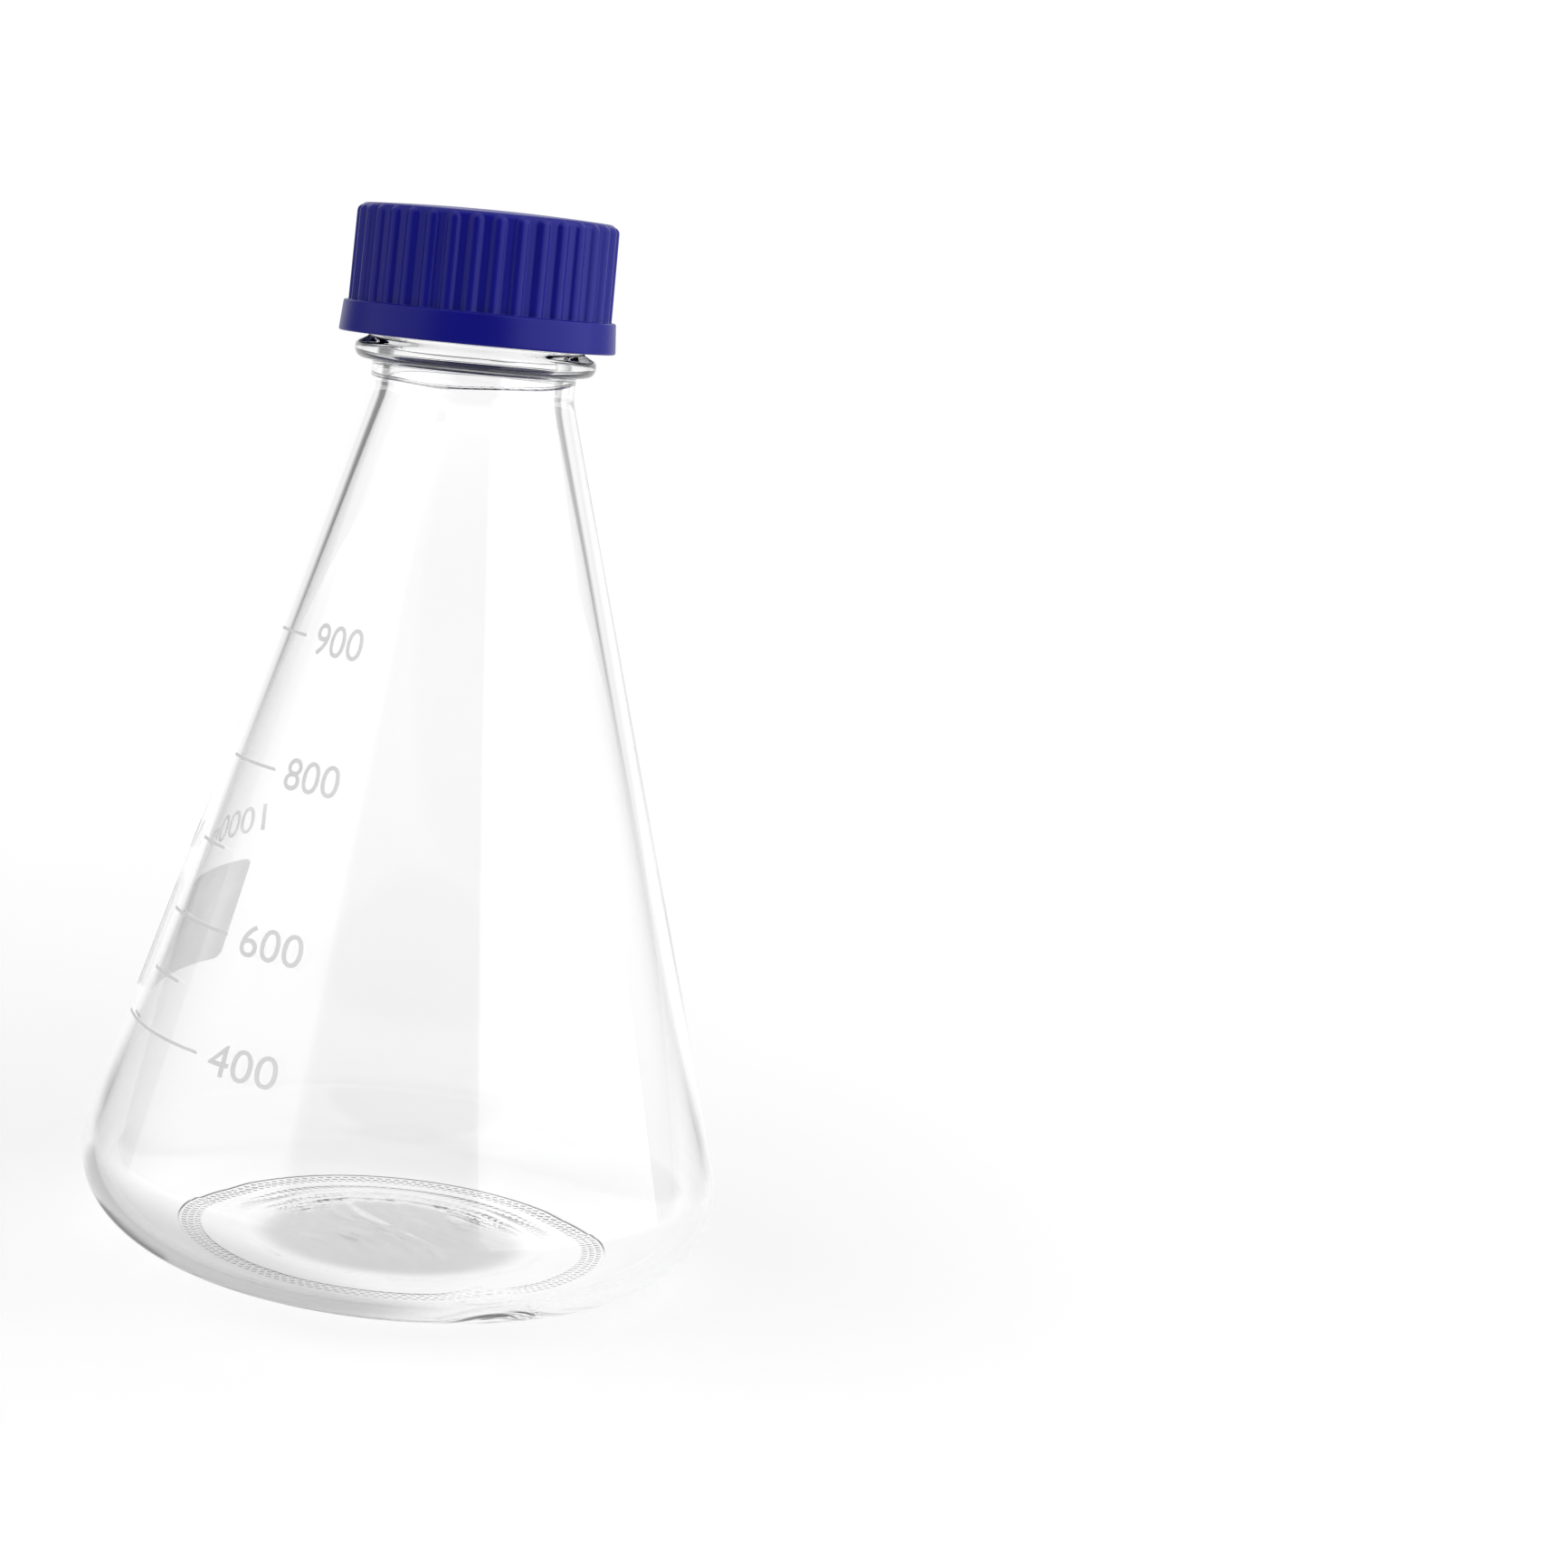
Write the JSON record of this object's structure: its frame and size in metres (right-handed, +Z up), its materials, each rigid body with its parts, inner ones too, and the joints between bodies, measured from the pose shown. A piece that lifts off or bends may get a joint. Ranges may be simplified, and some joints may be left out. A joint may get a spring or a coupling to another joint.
{
  "type": "conical laboratory flask with screw cap",
  "caption": "Clear glass conical laboratory flask with a beaded threaded neck and a ribbed blue screw cap that unscrews and lifts off its pouring ring.",
  "frame": {"origin": "centre of the base, on the surface that the flask stands on", "axes": "+Z up along the axis of the flask and its cap; -Y is the side that faces the picture's camera"},
  "size_m": [0.128, 0.128, 0.2084],
  "materials": {
    "clear_glass": "clear, smooth",
    "ring_plastic": "moulded, satin",
    "seal": "matte",
    "cap_plastic": "moulded, satin"
  },
  "bodies": {
    "flask": {"flask_body": "clear_glass", "pouring_ring": "ring_plastic"},
    "seal": {"cap_seal": "seal"},
    "cap": {"screw_cap": "cap_plastic"}
  },
  "joints": [
    {"name": "cap_lift", "type": "slide", "parent": "flask", "child": "seal", "axis": [0, 0, 1], "range_m": [0, 0.0401]},
    {"name": "cap_turn", "type": "hinge", "parent": "seal", "child": "cap", "pos_m": [0, 0, 0.2042], "axis": [0, 0, 1], "range_deg": [0, 3600]}
  ],
  "couplings": [
    {"joint": "cap_lift", "follows": "cap_turn", "m_per_rad": 0.00063662}
  ]
}
